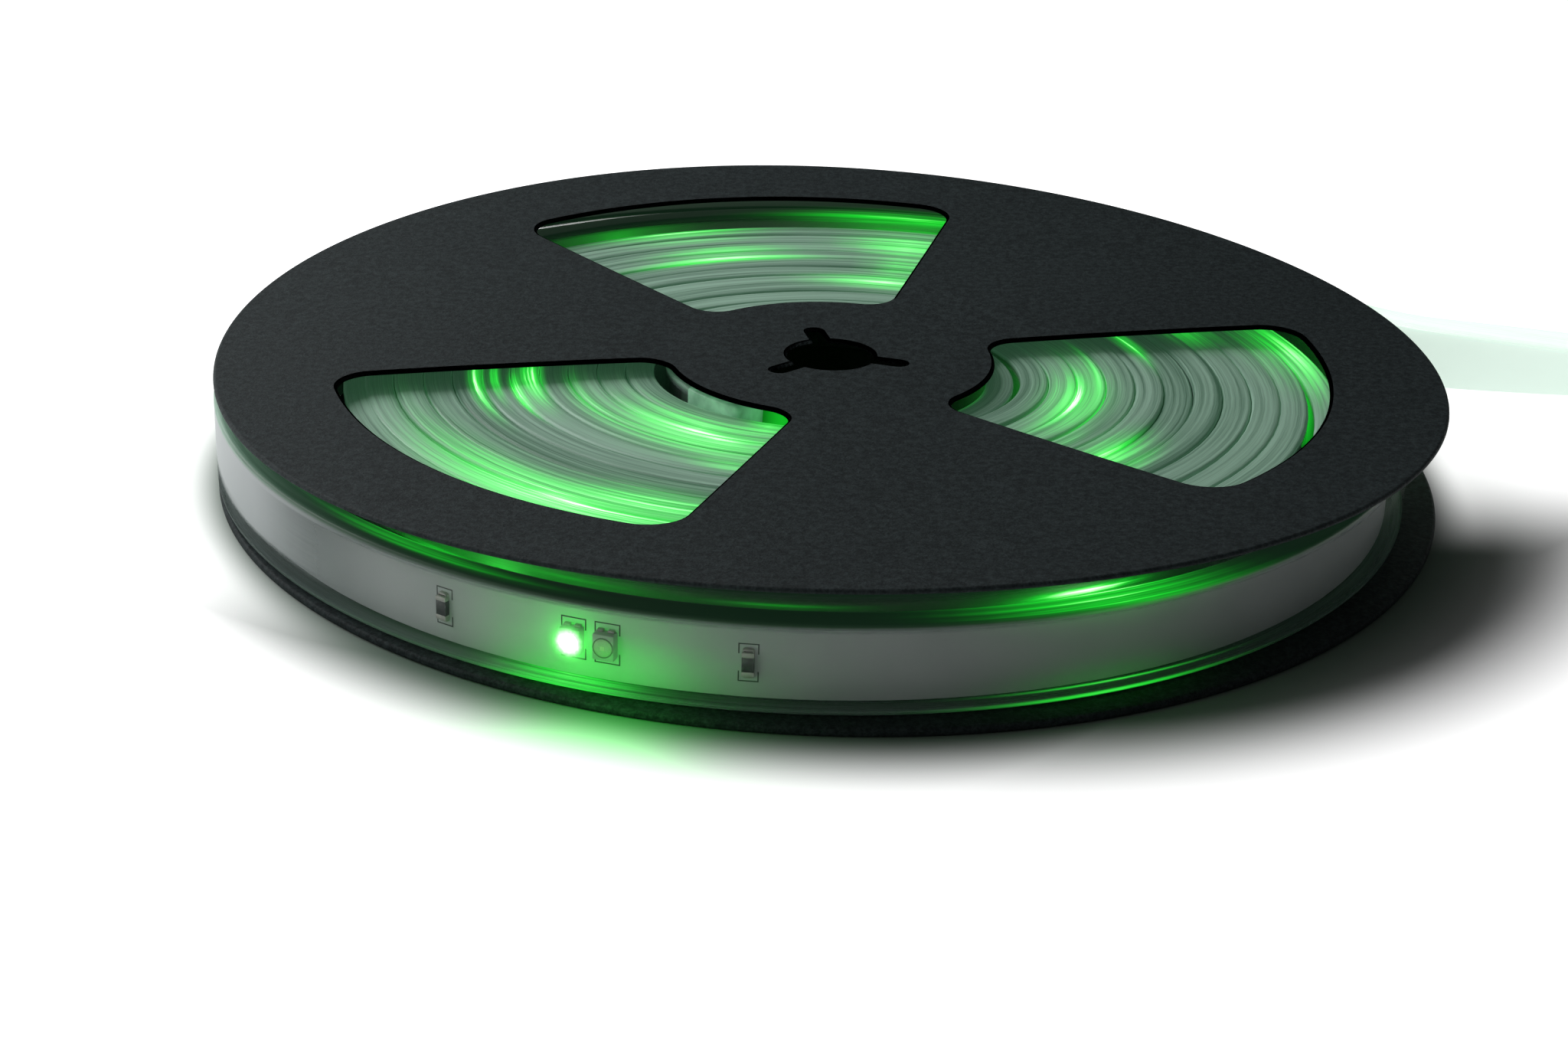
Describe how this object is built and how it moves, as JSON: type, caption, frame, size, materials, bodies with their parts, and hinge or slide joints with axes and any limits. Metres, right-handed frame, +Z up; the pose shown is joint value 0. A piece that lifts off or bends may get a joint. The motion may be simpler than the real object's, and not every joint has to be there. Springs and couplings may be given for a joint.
{
  "type": "led strip light reel",
  "caption": "Flexible LED strip in a clear silicone sleeve, wound on a flat black plastic reel with three windows in each flange, its tail leading off to one side.",
  "frame": {"origin": "middle of the whole part's footprint, on the surface that the reel lies on", "axes": "+Z up along the reel's axis, +X towards the side that the strip's tail leads off to, along the longest extent"},
  "size_m": [0.2234, 0.18, 0.0199],
  "materials": {
    "flange_plastic": "fine matte texture, black",
    "core_plastic": "matte black",
    "clear_silicone": "clear satin silicone",
    "cap_silicone": "milky translucent silicone",
    "circuit_ribbon": "white solder mask",
    "led_lit": "white housing, lit green lens",
    "led_off": "white housing, clear lens",
    "resistor": "black chip with tinned ends"
  },
  "bodies": {
    "root": {"circuit_ribbon": "circuit_ribbon", "inner_end_cap": "cap_silicone", "led_1a": "led_lit", "led_1b": "led_off", "led_2a": "led_lit", "led_2b": "led_off", "led_3a": "led_lit", "led_3b": "led_off", "led_4a": "led_lit", "led_4b": "led_off", "led_5a": "led_lit", "led_5b": "led_off", "led_6a": "led_lit", "led_6b": "led_off", "led_7a": "led_lit", "led_7b": "led_off", "lower_flange": "flange_plastic", "resistor_1a": "resistor", "resistor_1b": "resistor", "resistor_2a": "resistor", "resistor_2b": "resistor", "resistor_3a": "resistor", "resistor_3b": "resistor", "resistor_4a": "resistor", "resistor_4b": "resistor", "resistor_5a": "resistor", "resistor_5b": "resistor", "resistor_6a": "resistor", "resistor_6b": "resistor", "resistor_7a": "resistor", "resistor_7b": "resistor", "silicone_sleeve": "clear_silicone", "tail_end_cap": "cap_silicone", "upper_flange": "flange_plastic", "winding_core": "core_plastic"}
  },
  "joints": []
}
